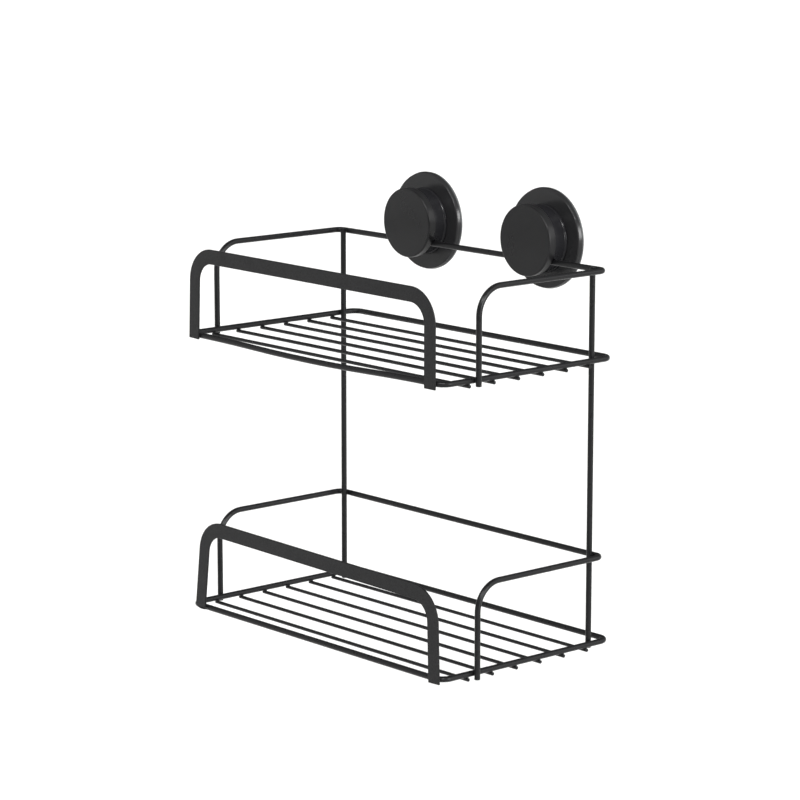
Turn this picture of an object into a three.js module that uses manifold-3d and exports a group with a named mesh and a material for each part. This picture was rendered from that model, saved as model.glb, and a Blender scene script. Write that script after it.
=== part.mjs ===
// A two-tier shower caddy: a welded wire rack that hangs from two screw-down suction cups.
// Millimetres. +Z is up, +Y points at the wall. The origin is on the wall plane, midway
// between the rack's two sides, at the height of the suction cups' axes.

import * as THREE from 'three';
import { mergeVertices } from 'three/addons/utils/BufferGeometryUtils.js';
import Module from 'manifold-3d';

const wasm = await Module();
wasm.setup();

// ---- driving dimensions --------------------------------------------------------------

const RACK = {
  halfWidth: 140,         // side wire centre from the middle
  depth: 161.3,           // front wire centre to back wire centre
  wallGap: 1.6,           // back wire to the wall
  tierPitch: 206.5,       // one basket's floor frame to the other's
  railHeight: 64,         // top rail above its floor frame
  cornerRadius: 8,
};
const WIRE = { radius: 2.1, sides: 12, bendSteps: 5 };
const FLOOR_WIRE = { radius: 1.3, sides: 8, count: 6 };
const RAIL = {
  frontSetback: 29,       // verticals behind the front wire
  backSetin: 11.5,        // back run in front of the frame's back wire
  shoulderRadius: 20,
  cornerRadius: 6,
  foot: 4,                // verticals end this far below the frame's centre line
};
const GUARD = { barWidth: 11, thickness: 1.5, bendRadius: 19.5, bendSteps: 10 };
// The bar's centre line. Each guard is bent and welded on a little out of true: x is from
// the middle of the rack, and rise is above the floor frame, from its foot to the bar.
const GUARD_LINE = {
  upper: {
    left: { footX: -131, shoulderX: -128.6, rise: [-2.4, 60.6] },
    right: { footX: 130.3, shoulderX: 130.3, rise: [-3.8, 59.2] },
  },
  lower: {
    left: { footX: -127.1, shoulderX: -119.7, rise: [1.1, 62.9] },
    right: { footX: 135.2, shoulderX: 133.4, rise: [-2.7, 58.7] },
  },
};
const WELD_GAP = 0.15;    // left between two pieces that are welded or pressed together
const OVERRUN = 1;        // how far a cutting shape passes the surface that it opens

const CUP = {
  left: -57.7,
  right: 70.6,
  railDrop: 14.3,         // rail centre below the cup's axis
  segments: 36,
};
const KNOB = {
  radius: 26, front: 24, rear: 17.5, edge: 1.2, skin: 1.7, wall: 2.2, bossRadius: 9.5,
};
const NUT = { acrossFlats: 13, clearance: 0.3, front: 21.7, rear: 17.7, bore: 4.3 };
const WASHER = { inner: 5, outer: 9.5, front: 17.1, rear: 16.0 };
const HOUSING = {
  front: 17, neckRadius: 24.4, waistRadius: 24.2, flareRadius: 24.4, flareFront: 7.2,
  rimRadius: 25.1, rimFront: 6.4, rear: 5.15, plateRear: 11, cavityInner: 8,
  cavityOuter: 22, cavityMouth: 22.4, tubeRear: 8.9, bore: 5, washerClearance: 0.3,
};
const NOTCH = { clearance: 0.4, depthClearance: 0.3 };
const DISC = {
  front: 5, faceRadius: 36, rimRadius: 37, rimRear: 1.7, domeFront: 8.5, domeRadius: 14.5,
  domeFoot: 19, hollowFoot: 20, wall: 1.9, bore: 8.2, seatRadius: 34,
};
const PAD = {
  radius: 36.5, lip: 30, lipThickness: 1.4, lipRoot: 33, hubFront: 8.2, hubRadius: 7.5,
  hubRear: 4.4, crownRadius: 13, crownFront: 6.2, shoulder: 19.8, shoulderFront: 2.85,
  shoulderRear: 1.4, pocketFront: 7.4, pocketRear: 5.6, pocketRadius: 6.6,
  bore: 4.3,
};
const STUD = { radius: 4, front: 21.9, flangeRadius: 6.2, flangeFront: 7.1, flangeRear: 5.9 };

// ---- places worked out from them -----------------------------------------------------

const backY = -(RACK.wallGap + WIRE.radius);
const frontY = backY - RACK.depth;
const railBackY = backY - RAIL.backSetin;
const railFrontY = frontY + RAIL.frontSetback;
const touching = 2 * WIRE.radius + WELD_GAP;
const railHalfWidth = RACK.halfWidth + touching;
const postX = RACK.halfWidth - touching;
const postY = railBackY - touching;
const upperZ = -CUP.railDrop - RACK.railHeight;
const lowerZ = upperZ - RACK.tierPitch;
const tiers = { upper: upperZ, lower: lowerZ };

// ---- materials -----------------------------------------------------------------------

function finish(color, roughness, metalness) {
  return new THREE.MeshStandardMaterial({ color, roughness, metalness });
}

const finishes = {
  coatedSteel: finish(0x1f1f21, 0.55, 0.2),
  blackPlastic: finish(0x26262a, 0.5, 0),
  smokePad: finish(0x3c3d40, 0.4, 0),
  brass: finish(0xb08d4a, 0.35, 1),
  whitePlastic: finish(0xe3e1dc, 0.5, 0),
  greyPlastic: finish(0x55565a, 0.5, 0),
};

// ---- geometry helpers ----------------------------------------------------------------

const vec = (x, y, z) => new THREE.Vector3(x, y, z);

// A wire's centre line: straight runs that meet in round bends. A section is placed at
// the two ends and along each bend only, because a straight run needs none between.
class BentLine extends THREE.Curve {
  constructor(corners, radii, closed = false, bendSteps = WIRE.bendSteps) {
    super();
    this.stations = [];
    this.bendSteps = bendSteps;
    const count = corners.length;
    corners.forEach((corner, i) => {
      const isEnd = !closed && (i === 0 || i === count - 1);
      if (isEnd) {
        const other = corners[i === 0 ? 1 : count - 2];
        const tangent = i === 0 ? other.clone().sub(corner) : corner.clone().sub(other);
        this.stations.push({ point: corner.clone(), tangent: tangent.normalize() });
        return;
      }
      const before = corners[(i + count - 1) % count];
      const after = corners[(i + 1) % count];
      this.addBend(before, corner, after, radii[i]);
    });
    if (closed) this.stations.push(this.stations[0]);
  }

  addBend(before, corner, after, radius) {
    const into = corner.clone().sub(before).normalize();
    const out = after.clone().sub(corner).normalize();
    const turn = into.angleTo(out);
    const start = corner.clone().addScaledVector(into, -radius * Math.tan(turn / 2));
    const side = out.clone().addScaledVector(into, -into.dot(out)).normalize();
    for (let k = 0; k <= this.bendSteps; k += 1) {
      const angle = (turn * k) / this.bendSteps;
      const point = start.clone()
        .addScaledVector(into, radius * Math.sin(angle))
        .addScaledVector(side, radius * (1 - Math.cos(angle)));
      const tangent = into.clone().multiplyScalar(Math.cos(angle))
        .addScaledVector(side, Math.sin(angle));
      this.stations.push({ point, tangent });
    }
  }

  get steps() {
    return this.stations.length - 1;
  }

  // The extrusion asks for evenly spaced shares of the line, and gets the stations in turn.
  station(u) {
    return this.stations[Math.round(u * this.steps)];
  }

  getPointAt(u) {
    return this.station(u).point.clone();
  }

  getTangentAt(u) {
    return this.station(u).tangent.clone();
  }
}

function roundSection(radius, sides) {
  const corners = Array.from({ length: sides }, (_, i) => {
    const angle = (2 * Math.PI * i) / sides;
    return new THREE.Vector2(radius * Math.cos(angle), radius * Math.sin(angle));
  });
  return new THREE.Shape(corners);
}

function wire(line, radius = WIRE.radius, sides = WIRE.sides) {
  const options = { steps: line.steps, extrudePath: line, bevelEnabled: false };
  return new THREE.ExtrudeGeometry(roundSection(radius, sides), options);
}

// A wire whose two ends are welded into one ring: its end caps are dropped, and the first
// and last sections become one.
function ringWire(line) {
  const swept = wire(line);
  const wall = swept.groups[1];
  const positions = swept.getAttribute('position').array;
  const kept = positions.slice(wall.start * 3, (wall.start + wall.count) * 3);
  const ring = new THREE.BufferGeometry();
  ring.setAttribute('position', new THREE.Float32BufferAttribute(kept, 3));
  return mergeVertices(ring, 1e-3);
}

// A solid of revolution about the Y axis. Each pair is a radius and a distance in front of
// the wall, listed from the front face round to the back.
function turned(pairs, closed = true) {
  const points = pairs.map(([radius, inFront]) => new THREE.Vector2(radius, -inFront));
  if (closed) points.push(points[0].clone());
  return new THREE.LatheGeometry(points, CUP.segments);
}

function solid(geometry) {
  const bare = geometry.clone();
  bare.deleteAttribute('normal');
  bare.deleteAttribute('uv');
  const merged = mergeVertices(bare, 1e-4);
  const vertProperties = new Float32Array(merged.getAttribute('position').array);
  const triVerts = new Uint32Array(merged.index.array);
  return new wasm.Manifold(new wasm.Mesh({ numProp: 3, vertProperties, triVerts }));
}

function cut(body, ...tools) {
  const left = tools.reduce((whole, tool) => whole.subtract(solid(tool)), solid(body));
  const mesh = left.getMesh();
  const geometry = new THREE.BufferGeometry();
  geometry.setAttribute('position', new THREE.Float32BufferAttribute(mesh.vertProperties, 3));
  geometry.setIndex(new THREE.Uint32BufferAttribute(mesh.triVerts, 1));
  return geometry;
}

// A six-sided prism along Y, for the insert nut and its pocket.
function hexPrism(acrossFlats, front, rear) {
  const prism = new THREE.CylinderGeometry(
    acrossFlats / Math.sqrt(3), acrossFlats / Math.sqrt(3), front - rear, 6);
  return prism.translate(0, -(front + rear) / 2, 0);
}

// ---- the rack's pieces ---------------------------------------------------------------

function frameLoop(z) {
  const x = RACK.halfWidth;
  const corners = [
    vec(-x, frontY, z), vec(x, frontY, z), vec(x, backY, z), vec(-x, backY, z),
  ];
  return ringWire(new BentLine(corners, Array(4).fill(RACK.cornerRadius), true));
}

function topRail(z) {
  const x = railHalfWidth;
  const top = z + RACK.railHeight;
  const foot = z - RAIL.foot;
  const corners = [
    vec(-x, railFrontY, foot), vec(-x, railFrontY, top), vec(-x, railBackY, top),
    vec(x, railBackY, top), vec(x, railFrontY, top), vec(x, railFrontY, foot),
  ];
  const { shoulderRadius, cornerRadius } = RAIL;
  return wire(new BentLine(corners, [0, shoulderRadius, cornerRadius, cornerRadius, shoulderRadius, 0]));
}

function post(side) {
  const foot = vec(side * postX, postY, lowerZ - RAIL.foot);
  const head = vec(side * postX, postY, upperZ + RACK.railHeight + WIRE.radius);
  return wire(new BentLine([foot, head], [0, 0]));
}

function floorWire(z, place) {
  const y = frontY + (RACK.depth * place) / (FLOOR_WIRE.count + 1);
  const centre = z - WIRE.radius - FLOOR_WIRE.radius - WELD_GAP;
  const x = RACK.halfWidth + WIRE.radius;
  const line = new BentLine([vec(-x, y, centre), vec(x, y, centre)], [0, 0]);
  return wire(line, FLOOR_WIRE.radius, FLOOR_WIRE.sides);
}

// The guard is a flat bar on edge. Its outline runs up one side of its centre line and
// back down the other, drawn in the XZ plane and given its thickness along Y.
function frontGuard(tier, z) {
  const { left, right } = GUARD_LINE[tier];
  const corners = [
    vec(left.footX, 0, left.rise[0]), vec(left.shoulderX, 0, left.rise[1]),
    vec(right.shoulderX, 0, right.rise[1]), vec(right.footX, 0, right.rise[0]),
  ];
  const radii = [0, GUARD.bendRadius, GUARD.bendRadius, 0];
  const line = new BentLine(corners, radii, false, GUARD.bendSteps);
  const edge = (offset) => line.stations.map(({ point, tangent }) => new THREE.Vector2(
    point.x + offset * tangent.z, point.z - offset * tangent.x));
  const half = GUARD.barWidth / 2;
  const bar = new THREE.Shape([...edge(half), ...edge(-half).reverse()]);
  const geometry = new THREE.ExtrudeGeometry(
    bar, { depth: GUARD.thickness, bevelEnabled: false });
  geometry.rotateX(Math.PI / 2);
  return geometry.translate(0, frontY - WIRE.radius - WELD_GAP, z);
}

// ---- one suction cup's pieces, about the Y axis --------------------------------------

function lockKnob() {
  const { radius, front, rear, edge, skin, wall, bossRadius } = KNOB;
  const quarter = Math.PI / 2;
  const rounded = [0, 1 / 3, 2 / 3, 1].map((share) => [
    radius - edge + edge * Math.sin(share * quarter),
    front - edge + edge * Math.cos(share * quarter),
  ]);
  const shell = turned([
    [0, front], ...rounded, [radius, rear], [radius - wall, rear],
    [radius - wall, front - skin], [bossRadius, front - skin], [bossRadius, rear], [0, rear],
  ], false);
  const pocket = hexPrism(NUT.acrossFlats + 2 * NUT.clearance, front - skin, rear - OVERRUN);
  return cut(shell, pocket);
}

function insertNut() {
  const blank = hexPrism(NUT.acrossFlats, NUT.front, NUT.rear);
  const length = NUT.front - NUT.rear + 2 * OVERRUN;
  const bore = new THREE.CylinderGeometry(NUT.bore, NUT.bore, length, CUP.segments);
  bore.translate(0, -(NUT.front + NUT.rear) / 2, 0);
  return cut(blank, bore);
}

function slipWasher() {
  const { inner, outer, front, rear } = WASHER;
  return turned([[inner, front], [outer, front], [outer, rear], [inner, rear]]);
}

function housing() {
  const h = HOUSING;
  const seat = WASHER.outer + h.washerClearance;
  const seatFloor = WASHER.rear - WELD_GAP;
  const shell = turned([
    [seat, h.front], [h.neckRadius, h.front], [h.waistRadius, h.plateRear],
    [h.flareRadius, h.flareFront], [h.rimRadius, h.rimFront], [h.rimRadius, h.rear],
    [h.cavityMouth, h.rear], [h.cavityOuter, h.plateRear], [h.cavityInner, h.plateRear],
    [h.cavityInner, h.tubeRear], [h.bore, h.tubeRear], [h.bore, seatFloor], [seat, seatFloor],
  ]);
  const width = 2 * (WIRE.radius + NOTCH.clearance);
  const floor = -(railBackY + WIRE.radius + NOTCH.depthClearance);
  const depth = h.front + OVERRUN - floor;
  const slot = new THREE.BoxGeometry(2 * (h.rimRadius + OVERRUN), depth, width);
  slot.translate(0, -(floor + depth / 2), -CUP.railDrop);
  return cut(shell, slot);
}

function backingDisc() {
  const d = DISC;
  return turned([
    [d.bore, d.domeFront], [d.domeRadius, d.domeFront], [d.domeFoot, d.front],
    [d.faceRadius, d.front], [d.rimRadius, d.rimRear], [d.seatRadius, d.rimRear],
    [d.hollowFoot, d.front - d.wall], [d.domeRadius, d.domeFront - d.wall],
    [d.bore, d.domeFront - d.wall],
  ]);
}

function suctionMembrane() {
  const p = PAD;
  return turned([
    [p.bore, p.hubFront], [p.hubRadius, p.hubFront], [p.hubRadius, p.crownFront],
    [p.crownRadius, p.crownFront], [p.shoulder, p.shoulderFront],
    [p.lipRoot, p.lipThickness], [p.radius, p.lipThickness], [p.radius, 0], [p.lip, 0],
    [p.shoulder, p.shoulderRear], [p.crownRadius, p.hubRear], [0, p.hubRear],
    [0, p.pocketRear], [p.pocketRadius, p.pocketRear], [p.pocketRadius, p.pocketFront],
    [p.bore, p.pocketFront],
  ]);
}

function pullStud() {
  const s = STUD;
  return turned([
    [0, s.front], [s.radius, s.front], [s.radius, s.flangeFront],
    [s.flangeRadius, s.flangeFront], [s.flangeRadius, s.flangeRear], [0, s.flangeRear],
  ], false);
}

// ---- the whole caddy -----------------------------------------------------------------

const caddy = new THREE.Group();

function addPiece(parent, name, geometry, material) {
  const mesh = new THREE.Mesh(geometry, material);
  mesh.name = name;
  parent.add(mesh);
}

for (const [tier, z] of Object.entries(tiers)) {
  addPiece(caddy, `${tier}_frame_loop`, frameLoop(z), finishes.coatedSteel);
  addPiece(caddy, `${tier}_top_rail`, topRail(z), finishes.coatedSteel);
  addPiece(caddy, `${tier}_front_guard`, frontGuard(tier, z), finishes.coatedSteel);
  for (let place = 1; place <= FLOOR_WIRE.count; place += 1) {
    addPiece(caddy, `${tier}_floor_wire_${place}`, floorWire(z, place), finishes.coatedSteel);
  }
}
addPiece(caddy, 'left_post', post(-1), finishes.coatedSteel);
addPiece(caddy, 'right_post', post(1), finishes.coatedSteel);

for (const side of ['left', 'right']) {
  const cup = new THREE.Group();
  cup.position.x = CUP[side];
  addPiece(cup, `${side}_lock_knob`, lockKnob(), finishes.blackPlastic);
  addPiece(cup, `${side}_insert_nut`, insertNut(), finishes.brass);
  addPiece(cup, `${side}_slip_washer`, slipWasher(), finishes.whitePlastic);
  addPiece(cup, `${side}_housing`, housing(), finishes.blackPlastic);
  addPiece(cup, `${side}_backing_disc`, backingDisc(), finishes.blackPlastic);
  addPiece(cup, `${side}_suction_membrane`, suctionMembrane(), finishes.smokePad);
  addPiece(cup, `${side}_pull_stud`, pullStud(), finishes.greyPlastic);
  caddy.add(cup);
}

export default caddy;
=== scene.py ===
"""Shower caddy: the visible pieces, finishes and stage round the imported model.

Everything is in metres in the caddy's own frame: +Z up, +Y towards the wall, and the
origin on the wall plane midway between the rack's sides, at the cups' axis height.
"""

import math

import bmesh
import bpy
from bpy.props import FloatProperty, FloatVectorProperty, IntProperty, PointerProperty
from bpy.props import StringProperty
from mathutils import Matrix, Vector


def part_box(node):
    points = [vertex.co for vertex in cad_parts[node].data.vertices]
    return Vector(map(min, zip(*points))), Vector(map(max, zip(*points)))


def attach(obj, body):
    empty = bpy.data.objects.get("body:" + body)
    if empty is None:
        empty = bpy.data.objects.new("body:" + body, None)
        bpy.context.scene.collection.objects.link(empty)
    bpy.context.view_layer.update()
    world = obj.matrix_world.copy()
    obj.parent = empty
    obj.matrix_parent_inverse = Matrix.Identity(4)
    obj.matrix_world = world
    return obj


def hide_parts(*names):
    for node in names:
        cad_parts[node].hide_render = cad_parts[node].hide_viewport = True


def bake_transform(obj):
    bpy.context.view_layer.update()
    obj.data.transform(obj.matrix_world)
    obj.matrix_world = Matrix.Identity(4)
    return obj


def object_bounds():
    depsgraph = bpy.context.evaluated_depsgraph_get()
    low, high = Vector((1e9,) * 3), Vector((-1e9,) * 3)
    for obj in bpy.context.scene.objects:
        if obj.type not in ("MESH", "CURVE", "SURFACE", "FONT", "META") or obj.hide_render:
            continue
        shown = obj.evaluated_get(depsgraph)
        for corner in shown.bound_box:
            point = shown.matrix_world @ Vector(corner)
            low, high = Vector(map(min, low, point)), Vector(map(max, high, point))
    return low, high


bl_info = {
    "name": "Shower Caddy",
    "version": (1, 0, 0),
    "blender": (4, 5, 0),
    "location": "View3D > Sidebar > Shower Caddy",
    "description": "Builds a two-tier wire shower caddy with screw-down suction cups",
    "category": "Add Mesh",
}

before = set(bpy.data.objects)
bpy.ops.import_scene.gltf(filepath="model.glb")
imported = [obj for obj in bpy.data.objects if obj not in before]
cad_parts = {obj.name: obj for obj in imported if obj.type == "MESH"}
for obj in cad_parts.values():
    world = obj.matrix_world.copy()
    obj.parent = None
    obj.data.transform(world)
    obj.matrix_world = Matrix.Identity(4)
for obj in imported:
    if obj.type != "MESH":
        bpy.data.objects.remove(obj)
cad_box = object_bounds()

TIERS = ("upper", "lower")
SIDES = ("left", "right")
SIGN = {"left": -1, "right": 1}
FLOOR_PLACES = range(1, 7)
MM = 0.001
QUARTER = math.pi / 2

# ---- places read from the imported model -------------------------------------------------


def middle(node):
    low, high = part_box(node)
    return (low + high) / 2


def extent(node):
    low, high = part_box(node)
    return high - low


def axis_x(side):
    return middle(f"{side}_backing_disc").x


def in_front(node):
    """A cup node's distances in front of the wall: its front and its rear."""
    low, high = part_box(node)
    return -low.y, -high.y


WIRE_RADIUS = extent("left_post").x / 2
FLOOR_RADIUS = extent("upper_floor_wire_1").z / 2

# ---- settings --------------------------------------------------------------------------


class RackSettings(bpy.types.PropertyGroup):
    bend_step: FloatProperty(
        name="Bend step", description="Turn of the wire for each section in a bend",
        default=math.radians(5), subtype="ANGLE")
    sides: IntProperty(
        name="Sides", description="Flats round a main wire", default=28, min=8)
    corner_radius: FloatProperty(
        name="Frame corner", description="Bend radius of the floor frame's corners",
        default=8 * MM, unit="LENGTH")
    shoulder_radius: FloatProperty(
        name="Rail shoulder", description="Bend radius at the rail's two front shoulders",
        default=20 * MM, unit="LENGTH")
    rail_corner_radius: FloatProperty(
        name="Rail corner", description="Bend radius of the rail's back corners",
        default=6 * MM, unit="LENGTH")
    end_round: FloatProperty(
        name="End rounding", description="Rounding that the coat leaves on a cut end",
        default=0.45 * MM, unit="LENGTH")
    bead: FloatProperty(
        name="Weld bead", description="Length of a weld bead along the wires",
        default=2.7 * MM, unit="LENGTH")
    sag: FloatProperty(
        name="Front sag", description="How far the upper frame's front wire bows down",
        default=2.1 * MM, unit="LENGTH")


def leg_line(name, foot_x, foot_rise, shoulder_x, rise):
    """A guard leg's centre line in mm, from the middle and above the floor frame."""
    return FloatVectorProperty(
        name=name, description="The foot's x and rise, then the shoulder's", size=4,
        default=(foot_x * MM, foot_rise * MM, shoulder_x * MM, rise * MM), unit="LENGTH")


class GuardSettings(bpy.types.PropertyGroup):
    bar: FloatProperty(
        name="Bar width", description="Width of the flat bar", default=11 * MM,
        unit="LENGTH")
    corner: FloatProperty(
        name="Bend", description="Bend radius of the bar's centre line",
        default=19.5 * MM, unit="LENGTH")
    edge: FloatProperty(
        name="Edge rounding", description="Rounding of the bar's edges under the coat",
        default=0.4 * MM, unit="LENGTH")
    upper_left: leg_line("Upper left leg", -131, -2.4, -128.6, 60.6)
    upper_right: leg_line("Upper right leg", 130.3, -3.8, 130.3, 59.2)
    lower_left: leg_line("Lower left leg", -127.1, 1.1, -119.7, 62.9)
    lower_right: leg_line("Lower right leg", 135.2, -2.7, 133.4, 58.7)


class CupSettings(bpy.types.PropertyGroup):
    turns: IntProperty(
        name="Segments", description="Steps round a moulded part", default=128, min=24)
    knob_edge: FloatProperty(
        name="Knob edge", description="Rounding of the knob's front edge",
        default=1.2 * MM, unit="LENGTH")
    rim_edge: FloatProperty(
        name="Rim edge", description="Rounding of the thin rims", default=0.7 * MM,
        unit="LENGTH")
    notch_clearance: FloatProperty(
        name="Notch clearance", description="Room round the rail in the housing's notch",
        default=0.4 * MM, unit="LENGTH")


class FinishSettings(bpy.types.PropertyGroup):
    coat: StringProperty(
        name="Wire coat", description="sRGB of the matt coat on the wires",
        default="#131314")
    bar_coat: StringProperty(
        name="Bar coat", description="sRGB of the coat on the flat guards",
        default="#161617")
    knob: StringProperty(
        name="Knob", description="sRGB of the knob's ABS", default="#161617")
    housing: StringProperty(
        name="Housing", description="sRGB of the housing's ABS", default="#1B1B1D")
    disc: StringProperty(
        name="Disc", description="sRGB of the backing disc's ABS", default="#222223")
    pad: StringProperty(
        name="Pad", description="sRGB of the soft suction pad", default="#3A3B3D")


class StageSettings(bpy.types.PropertyGroup):
    azimuth: FloatProperty(
        name="Azimuth", description="Camera direction round the caddy",
        default=math.radians(48.738), subtype="ANGLE")
    elevation: FloatProperty(
        name="Elevation", description="Camera height angle",
        default=math.radians(10.918), subtype="ANGLE")
    location: FloatVectorProperty(
        name="Camera place", description="Camera place in the caddy's frame",
        default=(1.6311, -1.5116, 0.2992), subtype="TRANSLATION")
    lens: FloatProperty(
        name="Lens", description="Focal length on a 36 mm sensor", default=136.39)
    drop: FloatProperty(
        name="Floor drop", description="Floor below the caddy", default=0.25,
        unit="LENGTH")


def rack():
    return bpy.context.scene.caddy_rack


def guard():
    return bpy.context.scene.caddy_guard


def cup():
    return bpy.context.scene.caddy_cup


def finishes():
    return bpy.context.scene.caddy_finish


# ---- materials -------------------------------------------------------------------------


def linear(hex_colour):
    channels = [int(hex_colour[i:i + 2], 16) / 255 for i in (1, 3, 5)]
    return tuple(
        c / 12.92 if c <= 0.04045 else ((c + 0.055) / 1.055) ** 2.4 for c in channels
    ) + (1.0,)


def node(tree, kind, settings=(), links=()):
    """Adds a node, sets its inputs or properties, and links its inputs."""
    made = tree.nodes.new(kind)
    for name, value in dict(settings).items():
        if name in made.inputs:
            made.inputs[name].default_value = value
        else:
            setattr(made, name, value)
    for name, socket in dict(links).items():
        tree.links.new(socket, made.inputs[name])
    return made


def new_material(name, **shader):
    """A principled material, with its tree, shader and Object coordinates."""
    material = bpy.data.materials.new(name)
    material.use_nodes = True
    tree = material.node_tree
    principled = tree.nodes["Principled BSDF"]
    for socket, value in shader.items():
        principled.inputs[socket.replace("_", " ")].default_value = value
    place = node(tree, "ShaderNodeTexCoord").outputs["Object"]
    return material, tree, principled, place


def grain(tree, place, size, detail=3.0):
    """Noise whose features are about size metres across."""
    return node(
        tree, "ShaderNodeTexNoise",
        {"Scale": 1 / size, "Detail": detail, "Roughness": 0.6},
        {"Vector": place}).outputs["Fac"]


def spread(tree, fac, low, high):
    return node(
        tree, "ShaderNodeMapRange",
        {"From Min": 0.3, "From Max": 0.7, "To Min": low, "To Max": high},
        {"Value": fac}).outputs["Result"]


def mottle(tree, fac, dark, light):
    """Colour between two shades as fac goes from 0.3 to 0.7."""
    ramp = node(tree, "ShaderNodeValToRGB", {}, {"Fac": fac})
    ramp.color_ramp.elements[0].position = 0.3
    ramp.color_ramp.elements[0].color = dark
    ramp.color_ramp.elements[1].position = 0.7
    ramp.color_ramp.elements[1].color = light
    return ramp.outputs["Color"]


def shade(hex_colour, factor):
    r, g, b, a = linear(hex_colour)
    return (r * factor, g * factor, b * factor, a)


def bump(tree, principled, heights):
    """Chains bumps, each a height, a strength and a distance in metres."""
    normal = None
    for height, strength, distance in heights:
        links = {"Height": height}
        if normal:
            links["Normal"] = normal
        made = node(
            tree, "ShaderNodeBump", {"Strength": strength, "Distance": distance}, links)
        normal = made.outputs["Normal"]
    tree.links.new(normal, principled.inputs["Normal"])


def powder_coat(name, colour, rough, grit, relief, speckle):
    """Matt black polyester powder coat, baked on steel: a dull sheen with a fine
    orange-peel, and grit that scatters the light. The real grit is near 0.1 mm and is
    drawn coarser so that it shows."""
    material, tree, shader, place = new_material(
        name, IOR=1.5, Metallic=0.0, Specular_IOR_Level=0.18)
    peel = grain(tree, place, 9 * grit)
    fine = grain(tree, place, grit)
    tree.links.new(
        mottle(tree, fine, shade(colour, 1 - speckle), shade(colour, 1 + speckle)),
        shader.inputs["Base Color"])
    tree.links.new(
        spread(tree, peel, rough - 0.05, rough + 0.07), shader.inputs["Roughness"])
    bump(tree, shader, [(peel, 0.35, 0.05 * MM), (fine, relief, 0.04 * MM)])
    return material


def moulded_plastic(name, colour, rough):
    """Black ABS from a spark-eroded mould: an even, fine leathery matt, whose tone and
    roughness drift a little from place to place."""
    material, tree, shader, place = new_material(
        name, IOR=1.53, Metallic=0.0, Specular_IOR_Level=0.18)
    fine = grain(tree, place, 0.45 * MM)
    drift = grain(tree, place, 18 * MM, 2.0)
    tree.links.new(
        mottle(tree, drift, shade(colour, 0.93), shade(colour, 1.08)),
        shader.inputs["Base Color"])
    tree.links.new(
        spread(tree, drift, rough - 0.04, rough + 0.04), shader.inputs["Roughness"])
    bump(tree, shader, [(fine, 0.3, 0.03 * MM)])
    return material


def soft_pad(name, colour):
    """Smoke TPU, moulded smooth: rubbery, slightly see-through at its thin lip."""
    material, tree, shader, place = new_material(
        name, IOR=1.5, Metallic=0.0, Subsurface_Weight=0.15, Subsurface_Scale=1.0,
        Coat_Weight=0.15, Coat_Roughness=0.2)
    shader.inputs["Subsurface Radius"].default_value = (0.8 * MM, 0.8 * MM, 0.9 * MM)
    drift = grain(tree, place, 12 * MM, 2.0)
    tree.links.new(
        mottle(tree, drift, shade(colour, 0.9), shade(colour, 1.1)),
        shader.inputs["Base Color"])
    tree.links.new(spread(tree, drift, 0.3, 0.4), shader.inputs["Roughness"])
    bump(tree, shader, [(drift, 0.15, 0.1 * MM)])
    return material


def turned_brass(name):
    """Free-cutting brass, turned: the colour and polish vary finely with the cut."""
    material, tree, shader, place = new_material(name, Metallic=1.0)
    fine = grain(tree, place, 0.6 * MM)
    tree.links.new(
        mottle(tree, fine, linear("#A88445"), linear("#C6A25A")),
        shader.inputs["Base Color"])
    tree.links.new(spread(tree, fine, 0.25, 0.4), shader.inputs["Roughness"])
    bump(tree, shader, [(fine, 0.2, 0.03 * MM)])
    return material


_made = {}


def finish(slot):
    """The material for one of the record's slots, made once."""
    colours = finishes()
    makers = {
        "coated_wire": lambda: powder_coat("Powder-coated wire", colours.coat,
                                           0.3, 0.55 * MM, 0.3, 0.1),
        "guard_bar": lambda: powder_coat("Powder-coated flat bar", colours.bar_coat,
                                         0.4, 1.0 * MM, 1.0, 0.6),
        "knob_plastic": lambda: moulded_plastic("Moulded ABS knob", colours.knob, 0.3),
        "housing_plastic": lambda: moulded_plastic("Moulded ABS housing",
                                                   colours.housing, 0.24),
        "disc_plastic": lambda: moulded_plastic("Moulded ABS disc", colours.disc, 0.24),
        "pad_rubber": lambda: soft_pad("Smoke TPU pad", colours.pad),
        "stud_plastic": lambda: moulded_plastic("Moulded nylon stud", "#55565A", 0.45),
        "insert_brass": lambda: turned_brass("Turned brass"),
        "washer_plastic": lambda: moulded_plastic("Natural acetal", "#DAD7CE", 0.4),
    }
    if slot not in _made:
        _made[slot] = makers[slot]()
    return _made[slot]


# ---- making a piece --------------------------------------------------------------------

SHARP = math.radians(35)  # an edge that turns more than this stays sharp


def apply_modifiers(made):
    """Keeps the evaluated mesh as the piece's own, and drops the modifiers."""
    graph = bpy.context.evaluated_depsgraph_get()
    mesh = bpy.data.meshes.new_from_object(made.evaluated_get(graph))
    made.modifiers.clear()
    made.data = mesh


def even_flats(made):
    """Lets the large faces set the shading, so a flat stays flat up to its rounding."""
    weigh = made.modifiers.new("even flats", "WEIGHTED_NORMAL")
    weigh.keep_sharp = True
    weigh.weight = 100
    apply_modifiers(made)


def piece(name, bm, slot, body, *nodes, merge=1e-6):
    """Turns a bmesh into a finished piece that stands for the given nodes."""
    bmesh.ops.remove_doubles(bm, verts=bm.verts[:], dist=merge)
    bmesh.ops.recalc_face_normals(bm, faces=bm.faces[:])
    mesh = bpy.data.meshes.new(name)
    bm.to_mesh(mesh)
    bm.free()
    mesh.shade_smooth()
    mesh.set_sharp_from_angle(angle=SHARP)
    mesh.materials.append(finish(slot))
    made = bpy.data.objects.new(name, mesh)
    bpy.context.scene.collection.objects.link(made)
    even_flats(made)
    if nodes:
        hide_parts(*nodes)
    if body:
        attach(made, body)
    return made


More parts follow.
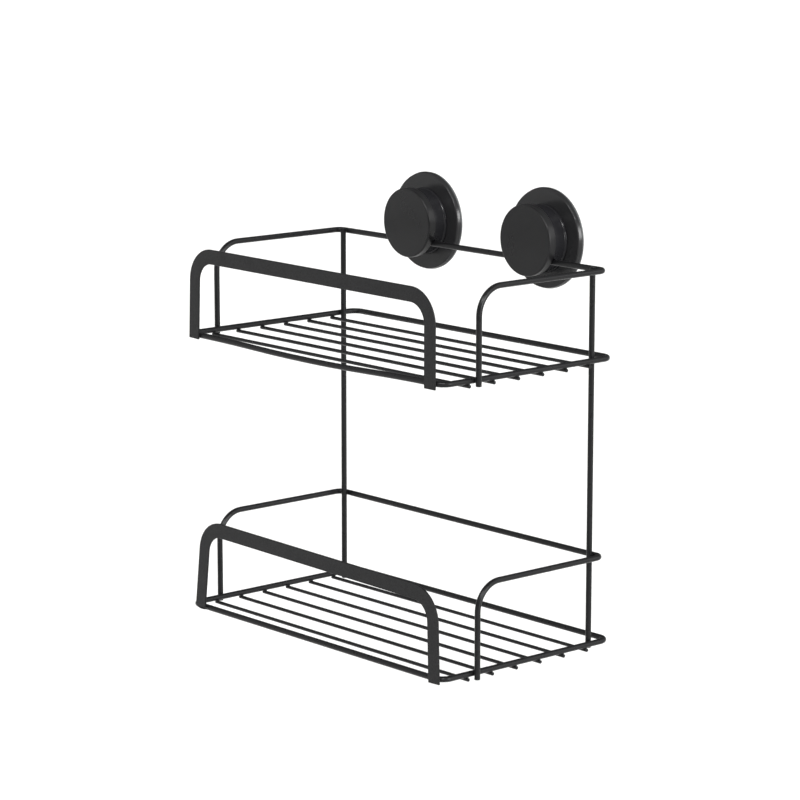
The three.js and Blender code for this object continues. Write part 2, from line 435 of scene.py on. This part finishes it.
class WireBender:
    """Feeds stock along a heading and bends it, as a wire former does."""

    def __init__(self, start, heading):
        self.bm = bmesh.new()
        self.at = Vector(start)
        self.heading = Vector(heading).normalized()
        self.caps = []

    def round_stock(self, radius, sides, capped=True):
        turn = self.heading.to_track_quat("Z", "Y").to_matrix().to_4x4()
        bmesh.ops.create_circle(
            self.bm, cap_ends=capped, radius=radius, segments=sides,
            matrix=Matrix.Translation(self.at) @ turn)
        return self._loaded()

    def flat_stock(self, width, thickness):
        """Flat bar whose width lies in the XZ plane and whose thickness is along Y."""
        through = Vector((0, 1, 0))
        across = through.cross(self.heading)
        turn = Matrix((across, through, self.heading)).transposed().to_4x4()
        bmesh.ops.create_grid(
            self.bm, x_segments=1, y_segments=1, size=0.5,
            matrix=Matrix.Translation(self.at) @ turn
            @ Matrix.Diagonal((width, thickness, 1, 1)))
        return self._loaded()

    def _loaded(self):
        self.ring = self.bm.edges[:]
        self.caps = self.bm.faces[:]
        return self

    def feed(self, length):
        made = bmesh.ops.extrude_edge_only(self.bm, edges=self.ring)["geom"]
        ring = [e for e in made if isinstance(e, bmesh.types.BMEdge)]
        verts = [v for v in made if isinstance(v, bmesh.types.BMVert)]
        bmesh.ops.translate(self.bm, verts=verts, vec=self.heading * length)
        self.ring = [e for e in ring if all(v in verts for v in e.verts)]
        self.at = self.at + self.heading * length
        return self

    def bend(self, radius, towards, angle=QUARTER):
        side = Vector(towards)
        side = (side - self.heading * side.dot(self.heading)).normalized()
        centre = self.at + side * radius
        axis = self.heading.cross(side)
        steps = max(6, round(angle / rack().bend_step))
        made = bmesh.ops.spin(
            self.bm, geom=self.ring, cent=centre, axis=axis, angle=angle, steps=steps)
        self.ring = [e for e in made["geom_last"] if isinstance(e, bmesh.types.BMEdge)]
        turned = Matrix.Rotation(angle, 3, axis)
        self.at = centre + turned @ (self.at - centre)
        self.heading = turned @ self.heading
        return self

    def follow(self, corners, radius):
        """Runs through the corners, bent at each one but the last."""
        for corner, after in zip(corners, corners[1:]):
            turn = self.heading.angle(after - corner)
            self.feed((corner - self.at).length - radius * math.tan(turn / 2))
            self.bend(radius, after - corner, turn)
        return self.feed((corners[-1] - self.at).length)

    def sagging(self, length, sag):
        """A level run that bows down by sag at its middle."""
        if not sag:
            return self.feed(length)
        turn = 2 * math.atan(2 * sag / length)
        radius = length / (4 * math.sin(turn))
        self.bend(radius, (0, 0, -1), turn).bend(radius, (0, 0, 1), 2 * turn)
        return self.bend(radius, (0, 0, -1), turn)

    def cap(self):
        """Closes the open end."""
        made = bmesh.ops.contextual_create(self.bm, geom=self.ring)["faces"]
        self.caps += made
        return self

    def round_ends(self, radius):
        """Rounds both cut ends as the coat does."""
        edges = {e for f in self.caps if f.is_valid for e in f.edges}
        bmesh.ops.bevel(
            self.bm, geom=list(edges), offset=radius, segments=3, profile=0.5,
            affect="EDGES", material=-1)
        return self


# ---- the rack --------------------------------------------------------------------------


def frame_loop(tier):
    name = f"{tier}_frame_loop"
    low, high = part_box(name)
    r, bend = WIRE_RADIUS, rack().corner_radius
    width = high.x - low.x - 2 * r - 2 * bend
    depth = high.y - low.y - 2 * r - 2 * bend
    start = (low.x + r + bend, low.y + r, (low.z + high.z) / 2)
    wire = WireBender(start, (1, 0, 0)).round_stock(r, rack().sides, capped=False)
    wire.sagging(width, rack().sag if tier == "upper" else 0)
    wire.bend(bend, (0, 1, 0)).feed(depth).bend(bend, (-1, 0, 0))
    wire.feed(width).bend(bend, (0, -1, 0)).feed(depth).bend(bend, (1, 0, 0))
    piece(f"{tier}_frame_loop_wire", wire.bm, "coated_wire", "root", name, merge=1e-5)


def top_rail(tier):
    name = f"{tier}_top_rail"
    low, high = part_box(name)
    r = WIRE_RADIUS
    shoulder, corner = rack().shoulder_radius, rack().rail_corner_radius
    rise = high.z - low.z - r - shoulder
    side = high.y - low.y - 2 * r - shoulder - corner
    back = high.x - low.x - 2 * r - 2 * corner
    wire = WireBender((low.x + r, low.y + r, low.z), (0, 0, 1))
    wire.round_stock(r, rack().sides)
    wire.feed(rise).bend(shoulder, (0, 1, 0)).feed(side).bend(corner, (1, 0, 0))
    wire.feed(back).bend(corner, (0, -1, 0)).feed(side).bend(shoulder, (0, 0, -1))
    wire.feed(rise).cap().round_ends(rack().end_round)
    piece(f"{tier}_top_rail_wire", wire.bm, "coated_wire", "root", name)


def straight_wire(name, start, heading, length, radius, sides):
    wire = WireBender(start, heading).round_stock(radius, sides)
    wire.feed(length).cap().round_ends(min(rack().end_round, radius / 3))
    piece(f"{name}_rod", wire.bm, "coated_wire", "root", name)


def weld_bead(bm, at, along, size):
    """One flattened bead of weld, longest along the given direction."""
    turn = Vector(along).to_track_quat("Z", "Y").to_matrix().to_4x4()
    stretch = Matrix.Diagonal((size[0], size[1], size[2], 1))
    bmesh.ops.create_icosphere(
        bm, subdivisions=3, radius=0.5, matrix=Matrix.Translation(at) @ turn @ stretch)


def rack_welds():
    """The resistance welds where the rack's wires meet, under the coat."""
    bm = bmesh.new()
    bead = rack().bead
    for tier in TIERS:
        loop_low, loop_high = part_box(f"{tier}_frame_loop")
        loop_z = (loop_low.z + loop_high.z) / 2
        for place in FLOOR_PLACES:
            wire = middle(f"{tier}_floor_wire_{place}")
            for x in (loop_low.x + WIRE_RADIUS, loop_high.x - WIRE_RADIUS):
                at = (x, wire.y, loop_z - WIRE_RADIUS)
                weld_bead(bm, at, (0, 1, 0), (0.9 * bead, 0.6 * bead, 1.15 * bead))
        rail_low, rail_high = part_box(f"{tier}_top_rail")
        for side in SIDES:
            sign = SIGN[side]
            frame_x = sign * (loop_high.x - WIRE_RADIUS)
            at = (frame_x + sign * WIRE_RADIUS, rail_low.y + WIRE_RADIUS, loop_z)
            weld_bead(bm, at, (0, 0, 1), (0.7 * bead, bead, 1.2 * bead))
            post = middle(f"{side}_post")
            at = (frame_x - sign * WIRE_RADIUS, post.y, loop_z)
            weld_bead(bm, at, (0, 0, 1), (0.7 * bead, bead, 1.2 * bead))
            at = (post.x, post.y + WIRE_RADIUS, rail_high.z - WIRE_RADIUS)
            weld_bead(bm, at, (1, 0, 0), (bead, 0.7 * bead, 1.2 * bead))
    piece("rack_weld_beads", bm, "coated_wire", "root")


def leg(tier, side):
    return getattr(guard(), f"{tier}_{side}")


def front_guard(tier):
    name = f"{tier}_front_guard"
    low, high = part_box(name)
    y = (low.y + high.y) / 2
    floor = middle(f"{tier}_frame_loop").z
    corners = []
    for side in SIDES:
        foot_x, foot_rise, shoulder_x, rise = leg(tier, side)
        ends = [Vector((foot_x, y, floor + foot_rise)),
                Vector((shoulder_x, y, floor + rise))]
        corners += ends if side == "left" else reversed(ends)
    bar = WireBender(corners[0], corners[1] - corners[0])
    bar.flat_stock(guard().bar, high.y - low.y).follow(corners[1:], guard().corner).cap()
    bmesh.ops.recalc_face_normals(bar.bm, faces=bar.bm.faces[:])
    edges = [e for e in bar.bm.edges if len(e.link_faces) == 2
             and e.calc_face_angle() > math.radians(60)]
    bmesh.ops.bevel(
        bar.bm, geom=edges, offset=guard().edge, segments=3, profile=0.5,
        affect="EDGES", material=-1)
    piece(f"{tier}_front_guard_bar", bar.bm, "guard_bar", "root", name)


def guard_welds():
    """Short fillets that hold each guard leg to the front wire."""
    bm = bmesh.new()
    bead = rack().bead
    for tier in TIERS:
        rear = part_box(f"{tier}_front_guard")[1].y
        loop_z = middle(f"{tier}_frame_loop").z
        for side in SIDES:
            for offset in (-WIRE_RADIUS, WIRE_RADIUS):
                at = (leg(tier, side)[0], rear + 0.3 * MM, loop_z + 0.6 * offset)
                weld_bead(bm, at, (1, 0, 0), (0.5 * bead, 0.5 * bead, 3.4 * bead))
    piece("guard_weld_beads", bm, "coated_wire", "root")


# ---- the suction cups ------------------------------------------------------------------


def turned(side, profile, closed=True):
    """A solid of revolution about the cup's axis. Each profile corner is a radius, a
    distance in front of the wall and the rounding it gets, in metres."""
    bm = bmesh.new()
    x = axis_x(side)
    corners = [bm.verts.new((x, -in_front_of_wall, radius))
               for radius, in_front_of_wall, _ in profile]
    pairs = list(zip(corners, corners[1:]))
    if closed:
        pairs.append((corners[-1], corners[0]))
    for a, b in pairs:
        bm.edges.new((a, b))
    for vert, (_, _, rounding) in zip(corners, profile):
        if rounding:
            bmesh.ops.bevel(
                bm, geom=[vert], offset=rounding, offset_type="OFFSET", segments=5,
                profile=0.5, affect="VERTICES", material=-1)
    bmesh.ops.spin(
        bm, geom=bm.verts[:] + bm.edges[:], cent=(x, 0, 0), axis=(0, 1, 0),
        angle=2 * math.pi, steps=cup().turns, use_merge=True)
    return bm


def knob(side):
    name = f"{side}_lock_knob"
    front, rear = in_front(name)
    radius = extent(name).x / 2
    boss, socket = 9.5 * MM, 7.6 * MM
    skin, wall = 1.7 * MM, 2.2 * MM
    inner = radius - wall
    bm = turned(side, [
        (0, front, 0), (radius, front, cup().knob_edge), (radius, rear, cup().rim_edge),
        (inner, rear, 0.2 * MM), (inner, front - skin, 0.5 * MM),
        (boss, front - skin, 0.3 * MM), (boss, rear, 0.2 * MM),
        (socket, rear, 0.1 * MM), (socket, front - skin, 0), (0, front - skin, 0),
    ], closed=False)
    piece(f"{name}_cap", bm, "knob_plastic", f"{side}_knob", name)


def housing(side):
    name = f"{side}_housing"
    front, rear = in_front(name)
    rim = extent(name).x / 2
    edge = cup().rim_edge
    neck, waist = rim - 0.7 * MM, rim - 0.9 * MM
    plate, tube_end, washer_seat = 11 * MM, 8.9 * MM, 15.85 * MM
    mouth, cavity, tube, bore, seat = 22.4 * MM, 22 * MM, 8 * MM, 5 * MM, 9.8 * MM
    bm = turned(side, [
        (seat, front, 0.2 * MM), (neck, front, edge), (waist, plate, 1.5 * MM),
        (neck, rear + 2.05 * MM, 0.3 * MM), (rim, rear + 1.25 * MM, edge),
        (rim, rear, 0.15 * MM), (mouth, rear, 0.15 * MM), (cavity, plate, 0.6 * MM),
        (tube, plate, 0.6 * MM), (tube, tube_end, 0.2 * MM), (bore, tube_end, 0),
        (bore, washer_seat, 0), (seat, washer_seat, 0),
    ])
    made = piece(f"{name}_body", bm, "housing_plastic", None, name)
    cut_notch(made, side, front)
    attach(made, f"{side}_cup")


def cut_notch(made, side, front):
    """Opens the slot across the housing's front that the rail lies in."""
    low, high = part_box("upper_top_rail")
    clearance = cup().notch_clearance
    rail_z = high.z - WIRE_RADIUS
    width = 2 * (WIRE_RADIUS + clearance)
    floor = -(high.y) - 0.3 * MM
    over = 1 * MM
    depth = front + over - floor
    bm = bmesh.new()
    bmesh.ops.create_cube(
        bm, size=1,
        matrix=Matrix.Translation((axis_x(side), -(floor + depth / 2), rail_z))
        @ Matrix.Diagonal((60 * MM, depth, width, 1)))
    along = [e for e in bm.edges if abs(e.verts[0].co.x - e.verts[1].co.x) > 10 * MM
             and e.verts[0].co.y > -(floor + depth / 2)]
    bmesh.ops.bevel(
        bm, geom=along, offset=1.6 * MM, segments=6, profile=0.5, affect="EDGES",
        material=-1)
    cutter_mesh = bpy.data.meshes.new("notch_cutter")
    bm.to_mesh(cutter_mesh)
    bm.free()
    cutter = bpy.data.objects.new("notch_cutter", cutter_mesh)
    bpy.context.scene.collection.objects.link(cutter)
    cut = made.modifiers.new("notch", "BOOLEAN")
    cut.operation = "DIFFERENCE"
    cut.solver = "EXACT"
    cut.object = cutter
    apply_modifiers(made)
    bpy.data.objects.remove(cutter)
    made.data.set_sharp_from_angle(angle=SHARP)
    even_flats(made)


def backing_disc(side):
    name = f"{side}_backing_disc"
    dome, rear = in_front(name)
    rim = extent(name).x / 2
    edge = cup().rim_edge
    face, wall = 5 * MM, 1.9 * MM
    bore, crown, foot = 8.2 * MM, 14.5 * MM, 19 * MM
    bm = turned(side, [
        (bore, dome, 0.2 * MM), (crown, dome, 0.6 * MM), (foot, face, 0.6 * MM),
        (rim - 1 * MM, face, edge), (rim, rear, edge), (34 * MM, rear, 0.2 * MM),
        (20 * MM, face - wall, 2 * MM), (crown, dome - wall, 0.8 * MM),
        (bore, dome - wall, 0.1 * MM),
    ])
    piece(f"{name}_moulding", bm, "disc_plastic", f"{side}_cup", name)


def membrane(side):
    """The soft pad: its lip lies on the wall and its hub sits round the stud."""
    name = f"{side}_suction_membrane"
    collar, hub, flange = 4.3 * MM, 7.5 * MM, 6.6 * MM
    hub_front, hub_foot, back = 8.2 * MM, 6.2 * MM, 4.4 * MM
    lip, lip_front = 36.5 * MM, 1.4 * MM
    bm = turned(side, [
        (collar, hub_front, 0.3 * MM), (hub, hub_front, 0.5 * MM),
        (hub, hub_foot, 0.4 * MM), (13 * MM, hub_foot, 1.5 * MM),
        (19.8 * MM, 2.85 * MM, 4 * MM), (33 * MM, lip_front, 0.3 * MM),
        (lip, lip_front, 0.5 * MM), (lip, 0, 0.3 * MM), (30 * MM, 0, 0.4 * MM),
        (19.8 * MM, 1.4 * MM, 4 * MM), (13 * MM, back, 2 * MM), (0, back, 0),
        (0, 5.6 * MM, 0), (flange, 5.6 * MM, 0), (flange, 7.4 * MM, 0),
        (collar, 7.4 * MM, 0),
    ])
    made = piece(f"{name}_pad", bm, "pad_rubber", None, name)
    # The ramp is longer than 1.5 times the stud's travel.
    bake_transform(made)


def stud(side):
    name = f"{side}_pull_stud"
    front, rear = in_front(name)
    radius, pitch, depth = 4 * MM, 1.5 * MM, 0.35 * MM
    top = front - 0.6 * MM
    flange, flange_front = 6.2 * MM, 7.1 * MM
    teeth = int((top - 9.5 * MM) / pitch)
    thread = []
    for tooth in range(teeth):
        at = top - tooth * pitch
        thread += [(radius, at, 0.1 * MM), (radius, at - pitch * 0.35, 0.1 * MM),
                   (radius - depth, at - pitch * 0.6, 0.1 * MM),
                   (radius - depth, at - pitch * 0.8, 0.1 * MM)]
    bm = turned(side, [
        (0, front, 0), (radius - depth, front, 0.2 * MM), *thread,
        (radius, flange_front, 0), (flange, flange_front, 0.2 * MM),
        (flange, rear, 0.2 * MM),
        (0, rear, 0),
    ], closed=False)
    piece(f"{name}_screw", bm, "stud_plastic", f"{side}_stud", name)


def washer(side):
    name = f"{side}_slip_washer"
    front, rear = in_front(name)
    bore, outer, edge = 5 * MM, 9.5 * MM, 0.15 * MM
    bm = turned(side, [
        (bore, front, edge), (outer, front, edge), (outer, rear, edge), (bore, rear, edge),
    ])
    piece(f"{name}_ring", bm, "washer_plastic", f"{side}_cup", name)


def insert_nut(side):
    name = f"{side}_insert_nut"
    front, rear = in_front(name)
    x = axis_x(side)
    bm = bmesh.new()
    turn = Matrix.Translation((x, -front, 0)) @ Matrix.Rotation(-QUARTER, 4, "X")
    bmesh.ops.create_circle(
        bm, cap_ends=False, radius=extent(name).z / 2, segments=6,
        matrix=turn)
    outer = bm.edges[:]
    bmesh.ops.create_circle(bm, cap_ends=False, radius=4.3 * MM, segments=48, matrix=turn)
    inner = [e for e in bm.edges if e not in outer]
    faces = bmesh.ops.triangle_fill(bm, edges=outer + inner, use_beauty=True)["geom"]
    faces = [f for f in faces if isinstance(f, bmesh.types.BMFace)]
    made = bmesh.ops.extrude_face_region(bm, geom=faces, use_keep_orig=True)["geom"]
    moved = [v for v in made if isinstance(v, bmesh.types.BMVert)]
    bmesh.ops.translate(bm, verts=moved, vec=(0, front - rear, 0))
    piece(f"{name}_hex", bm, "insert_brass", f"{side}_knob", name)


# ---- operators -------------------------------------------------------------------------


class BuildOperator:
    bl_options = {"REGISTER", "UNDO"}

    def execute(self, context):
        self.build()
        return {"FINISHED"}


class CADDY_OT_frames(BuildOperator, bpy.types.Operator):
    """Bend the two floor frames and the two top rails"""
    bl_idname = "caddy.frames"
    bl_label = "Frames and Rails"

    def build(self):
        for tier in TIERS:
            frame_loop(tier)
            top_rail(tier)


class CADDY_OT_rods(BuildOperator, bpy.types.Operator):
    """Cut the rear posts and the floor wires"""
    bl_idname = "caddy.rods"
    bl_label = "Posts and Floor Wires"

    def build(self):
        for side in SIDES:
            name = f"{side}_post"
            at, size = middle(name), extent(name)
            start = (at.x, at.y, at.z - size.z / 2)
            straight_wire(name, start, (0, 0, 1), size.z, WIRE_RADIUS, rack().sides)
        for tier in TIERS:
            for place in FLOOR_PLACES:
                name = f"{tier}_floor_wire_{place}"
                at, size = middle(name), extent(name)
                start = (at.x - size.x / 2, at.y, at.z)
                straight_wire(name, start, (1, 0, 0), size.x, FLOOR_RADIUS, 20)


class CADDY_OT_guards(BuildOperator, bpy.types.Operator):
    """Bend the flat front guards"""
    bl_idname = "caddy.guards"
    bl_label = "Front Guards"

    def build(self):
        for tier in TIERS:
            front_guard(tier)


class CADDY_OT_welds(BuildOperator, bpy.types.Operator):
    """Lay the weld beads where the wires and guards meet"""
    bl_idname = "caddy.welds"
    bl_label = "Weld Beads"

    def build(self):
        rack_welds()
        guard_welds()


class CADDY_OT_knobs(BuildOperator, bpy.types.Operator):
    """Turn the knobs with their insert nuts"""
    bl_idname = "caddy.knobs"
    bl_label = "Lock Knobs"

    def build(self):
        for side in SIDES:
            knob(side)
            insert_nut(side)


class CADDY_OT_housings(BuildOperator, bpy.types.Operator):
    """Turn the housings, backing discs and washers, and cut the rail notches"""
    bl_idname = "caddy.housings"
    bl_label = "Housings and Discs"

    def build(self):
        for side in SIDES:
            housing(side)
            backing_disc(side)
            washer(side)


class CADDY_OT_pads(BuildOperator, bpy.types.Operator):
    """Mould the suction pads and their pull studs"""
    bl_idname = "caddy.pads"
    bl_label = "Suction Pads"

    def build(self):
        for side in SIDES:
            membrane(side)
            stud(side)


def backdrop_material():
    """Matt white studio paper: even, with the faint tooth of its pulp."""
    material, tree, shader, place = new_material("White studio paper", IOR=1.5)
    pulp = grain(tree, place, 4 * MM)
    tree.links.new(
        mottle(tree, pulp, linear("#F7F7F6"), linear("#FAFAF9")),
        shader.inputs["Base Color"])
    shader.inputs["Roughness"].default_value = 0.95
    return material


def distant_light(name, direction, strength, spread_angle):
    """A far soft box in the given direction from the caddy."""
    data = bpy.data.lights.new(name, "SUN")
    data.energy, data.angle = strength, spread_angle
    made = bpy.data.objects.new(name, data)
    made.rotation_mode = "QUATERNION"
    made.rotation_quaternion = Vector(direction).to_track_quat("Z", "Y")
    bpy.context.scene.collection.objects.link(made)


def studio_world(azimuth):
    """White behind the caddy, and a dimmer room round it: soft boxes to the left and
    right of the camera, dark behind it."""
    world = bpy.data.worlds.new("Soft white studio")
    world.use_nodes = True
    tree = world.node_tree
    white = tree.nodes["Background"]
    white.inputs["Color"].default_value = (1, 1, 1, 1)
    direction = node(tree, "ShaderNodeTexCoord").outputs["Generated"]
    turned_to_camera = node(
        tree, "ShaderNodeMapping", {"Rotation": (0, 0, -azimuth)}, {"Vector": direction})
    across = node(
        tree, "ShaderNodeSeparateXYZ", {}, {"Vector": turned_to_camera.outputs["Vector"]})
    sideways = node(
        tree, "ShaderNodeMath", {"operation": "ABSOLUTE"}, {"Value": across.outputs["X"]})
    level = node(
        tree, "ShaderNodeMapRange",
        {"interpolation_type": "SMOOTHSTEP", "From Min": 0.25, "From Max": 0.95,
         "To Min": 0.1, "To Max": 0.9},
        {"Value": sideways.outputs["Value"]})
    room = node(
        tree, "ShaderNodeBackground", {"Color": (1, 1, 1, 1)},
        {"Strength": level.outputs["Result"]})
    seen = node(tree, "ShaderNodeLightPath").outputs["Is Camera Ray"]
    mix = node(tree, "ShaderNodeMixShader", {}, {"Fac": seen})
    tree.links.new(room.outputs["Background"], mix.inputs[1])
    tree.links.new(white.outputs["Background"], mix.inputs[2])
    tree.links.new(mix.outputs["Shader"], tree.nodes["World Output"].inputs["Surface"])
    return world


class CADDY_OT_stage(BuildOperator, bpy.types.Operator):
    """Set the floor, the soft studio light and the camera"""
    bl_idname = "caddy.stage"
    bl_label = "Stage"

    def build(self):
        stage = bpy.context.scene.caddy_stage
        low, high = cad_box
        centre = (low + high) / 2
        bm = bmesh.new()
        bmesh.ops.create_grid(
            bm, x_segments=1, y_segments=1, size=12,
            matrix=Matrix.Translation((0, 0, low.z - stage.drop)))
        mesh = bpy.data.meshes.new("studio_floor")
        bm.to_mesh(mesh)
        bm.free()
        mesh.materials.append(backdrop_material())
        floor = bpy.data.objects.new("studio_floor", mesh)
        bpy.context.scene.collection.objects.link(floor)
        bpy.context.scene.world = studio_world(stage.azimuth)
        distant_light("overhead", (0, 0, 1), 0.3, math.radians(100))
        distant_light("rim", (0.69, 0.65, 0.33), 0.4, math.radians(30))
        distant_light("strip", (0.96, 0.17, 0.2), 2.6, math.radians(20))
        distant_light("key", (0.22, -0.65, 0.73), 1.4, math.radians(16))
        distant_light("front", (0.6, -0.5, 0.62), 1.8, math.radians(9))
        data = bpy.data.cameras.new("camera")
        data.sensor_width = 36
        data.lens = stage.lens
        data.clip_start, data.clip_end = 0.05, 40
        camera = bpy.data.objects.new("camera", data)
        camera.location = stage.location
        camera.rotation_mode = "QUATERNION"
        a, e = stage.azimuth, stage.elevation
        back = Vector((math.sin(a) * math.cos(e), -math.cos(a) * math.cos(e),
                       math.sin(e)))
        camera.rotation_quaternion = back.to_track_quat("Z", "Y")
        bpy.context.scene.collection.objects.link(camera)
        bpy.context.scene.camera = camera
        bpy.context.scene.view_settings.view_transform = "Standard"


class CADDY_PT_panel(bpy.types.Panel):
    bl_idname = "CADDY_PT_panel"
    bl_label = "Shower Caddy"
    bl_space_type = "VIEW_3D"
    bl_region_type = "UI"
    bl_category = "Shower Caddy"

    def draw(self, context):
        for operator in OPERATORS:
            self.layout.operator(operator.bl_idname)


OPERATORS = (
    CADDY_OT_frames, CADDY_OT_rods, CADDY_OT_guards, CADDY_OT_welds, CADDY_OT_knobs,
    CADDY_OT_housings, CADDY_OT_pads, CADDY_OT_stage,
)
SETTINGS = {
    "caddy_rack": RackSettings, "caddy_guard": GuardSettings, "caddy_cup": CupSettings,
    "caddy_finish": FinishSettings, "caddy_stage": StageSettings,
}


def register():
    for name, group in SETTINGS.items():
        bpy.utils.register_class(group)
        setattr(bpy.types.Scene, name, PointerProperty(type=group))
    for cls in (*OPERATORS, CADDY_PT_panel):
        bpy.utils.register_class(cls)


def unregister():
    for cls in (CADDY_PT_panel, *reversed(OPERATORS)):
        bpy.utils.unregister_class(cls)
    for name, group in reversed(SETTINGS.items()):
        delattr(bpy.types.Scene, name)
        bpy.utils.unregister_class(group)


def main():
    register()
    for operator in OPERATORS:
        group, action = operator.bl_idname.split(".")
        getattr(getattr(bpy.ops, group), action)()


if __name__ == "__main__":
    main()
